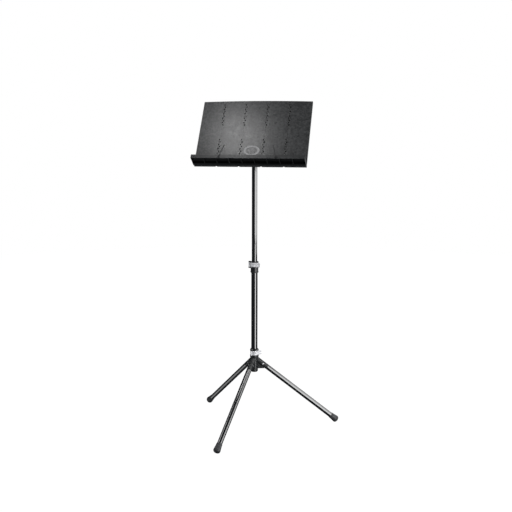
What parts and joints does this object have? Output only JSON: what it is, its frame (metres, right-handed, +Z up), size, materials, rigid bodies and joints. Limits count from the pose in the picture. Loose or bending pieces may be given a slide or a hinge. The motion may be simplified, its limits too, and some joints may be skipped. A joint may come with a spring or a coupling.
{
  "type": "music stand",
  "caption": "Folding orchestra music stand: hinged tripod legs, telescopic pole with lever clamps, and a tilting, swivelling panelled desk with a ribbed tray and page holders.",
  "frame": {"origin": "on the floor, in the middle of the stand's bounding box with its legs open; the pole axis stands 43 mm to -X and 55 mm to +Y of it", "axes": "+Z up along the pole, the desk faces -Y, +X to the right of someone reading the desk"},
  "size_m": [0.6709, 0.6598, 1.4725],
  "materials": {
    "moulded_black": "satin moulded plastic",
    "liner_plastic": "matte",
    "nylon": "natural nylon",
    "gloss_black_steel": "gloss black powder coat",
    "satin_black_steel": "satin black",
    "zinc_steel": "bright zinc",
    "brass": "machined",
    "silver_lever": "satin silver lacquer",
    "foot_rubber": "matte",
    "desk_plastic": "fine-grained satin",
    "tray_plastic": "fine-grained satin",
    "silver_badge": "brushed"
  },
  "bodies": {
    "base": {"hub": "moulded_black", "hub_bush": "nylon", "lower_collar": "moulded_black", "lower_liner": "liner_plastic", "lower_clamp_pin": "zinc_steel"},
    "leg_1": {"leg_head_1": "moulded_black", "leg_tube_1": "gloss_black_steel", "leg_rivet_1": "zinc_steel", "leg_foot_1": "foot_rubber"},
    "leg_2": {"leg_head_2": "moulded_black", "leg_tube_2": "gloss_black_steel", "leg_rivet_2": "zinc_steel", "leg_foot_2": "foot_rubber"},
    "leg_3": {"leg_head_3": "moulded_black", "leg_tube_3": "gloss_black_steel", "leg_rivet_3": "zinc_steel", "leg_foot_3": "foot_rubber"},
    "lower_lever": {"lower_lever": "silver_lever"},
    "lower_pole": {"lower_tube": "gloss_black_steel", "lower_tube_stop": "moulded_black", "upper_collar": "moulded_black", "upper_liner": "liner_plastic", "upper_clamp_pin": "zinc_steel"},
    "upper_lever": {"upper_lever": "silver_lever"},
    "upper_slider": {"guide_bush": "nylon"},
    "upper_pole": {"upper_tube": "gloss_black_steel", "upper_tube_plug": "moulded_black", "pole_head": "moulded_black", "tilt_bolt": "zinc_steel", "tilt_washers": "zinc_steel"},
    "tilt_knob": {"tilt_knob": "moulded_black", "knob_insert": "brass"},
    "desk": {"carrier_plate": "satin_black_steel", "carrier_lug": "satin_black_steel", "carrier_screws": "zinc_steel", "desk_panel_3": "desk_plastic", "hinge_pin_2": "zinc_steel", "hinge_pin_3": "zinc_steel", "desk_badge": "silver_badge"},
    "tray": {"tray": "tray_plastic", "holder_rivet_left": "satin_black_steel", "holder_rivet_right": "satin_black_steel"},
    "page_holder_left": {"page_holder_left": "satin_black_steel"},
    "page_holder_right": {"page_holder_right": "satin_black_steel"},
    "wing_left_inner": {"desk_panel_2": "desk_plastic", "hinge_pin_1": "zinc_steel"},
    "wing_left_outer": {"desk_panel_1": "desk_plastic"},
    "wing_right_inner": {"desk_panel_4": "desk_plastic", "hinge_pin_4": "zinc_steel"},
    "wing_right_outer": {"desk_panel_5": "desk_plastic"}
  },
  "joints": [
    {"name": "leg_1_fold", "type": "hinge", "parent": "base", "child": "leg_1", "pos_m": [-0.00691, 0.06654, 0.28989], "axis": [0.2907, -0.9568, 0], "range_deg": [-51, 0]},
    {"name": "leg_2_fold", "type": "hinge", "parent": "base", "child": "leg_2", "pos_m": [-0.05188, 0.01848, 0.28989], "axis": [-0.974, 0.2267, 0], "range_deg": [-51, 0]},
    {"name": "leg_3_fold", "type": "hinge", "parent": "base", "child": "leg_3", "pos_m": [-0.07101, 0.08146, 0.28989], "axis": [0.6833, 0.7302, 0], "range_deg": [-51, 0]},
    {"name": "lower_lever_open", "type": "hinge", "parent": "base", "child": "lower_lever", "pos_m": [-0.05344, 0.03553, 0.3425], "axis": [0, 0, -1], "range_deg": [0, 100]},
    {"name": "lower_tube_slide", "type": "slide", "parent": "base", "child": "lower_pole", "axis": [0, 0, 1], "range_m": [-0.34, 0]},
    {"name": "upper_lever_open", "type": "hinge", "parent": "lower_pole", "child": "upper_lever", "pos_m": [-0.06525, 0.05122, 0.7485], "axis": [0, 0, -1], "range_deg": [0, 100]},
    {"name": "upper_tube_slide", "type": "slide", "parent": "lower_pole", "child": "upper_slider", "axis": [0, 0, 1], "range_m": [-0.275, 0.09]},
    {"name": "desk_swivel", "type": "hinge", "parent": "upper_slider", "child": "upper_pole", "pos_m": [-0.04326, 0.05549, 0.565], "axis": [0, 0, 1], "continuous": true},
    {"name": "tilt_knob_turn", "type": "hinge", "parent": "upper_pole", "child": "tilt_knob", "pos_m": [-0.02327, 0.05549, 1.306], "axis": [1, 0, 0], "range_deg": [0, 180]},
    {"name": "desk_tilt", "type": "hinge", "parent": "upper_pole", "child": "desk", "pos_m": [-0.04326, 0.05549, 1.306], "axis": [-1, 0, 0], "range_deg": [-35, 50]},
    {"name": "tray_pull_off", "type": "slide", "parent": "desk", "child": "tray", "axis": [0, -0.8192, 0.5736], "range_m": [0, 0.02]},
    {"name": "wing_left_inner_fold", "type": "hinge", "parent": "desk", "child": "wing_left_inner", "pos_m": [-0.09226, 0.04571, 1.32481], "axis": [0, -0.5736, -0.8192], "range_deg": [0, 84]},
    {"name": "wing_left_outer_fold", "type": "hinge", "parent": "wing_left_inner", "child": "wing_left_outer", "pos_m": [-0.19026, 0.04571, 1.32481], "axis": [0, -0.5736, -0.8192], "range_deg": [0, 175]},
    {"name": "wing_right_inner_fold", "type": "hinge", "parent": "desk", "child": "wing_right_inner", "pos_m": [0.00573, 0.04571, 1.32481], "axis": [0, 0.5736, 0.8192], "range_deg": [0, 84]},
    {"name": "wing_right_outer_fold", "type": "hinge", "parent": "wing_right_inner", "child": "wing_right_outer", "pos_m": [0.10373, 0.04571, 1.32481], "axis": [0, 0.5736, 0.8192], "range_deg": [0, 175]},
    {"name": "page_holder_left_turn", "type": "hinge", "parent": "tray", "child": "page_holder_left", "pos_m": [-0.16676, -0.11245, 1.23352], "axis": [0, 0.8192, -0.5736], "range_deg": [-105, 70]},
    {"name": "page_holder_right_turn", "type": "hinge", "parent": "tray", "child": "page_holder_right", "pos_m": [0.08024, -0.11245, 1.23352], "axis": [0, -0.8192, 0.5736], "range_deg": [-105, 70]}
  ]
}
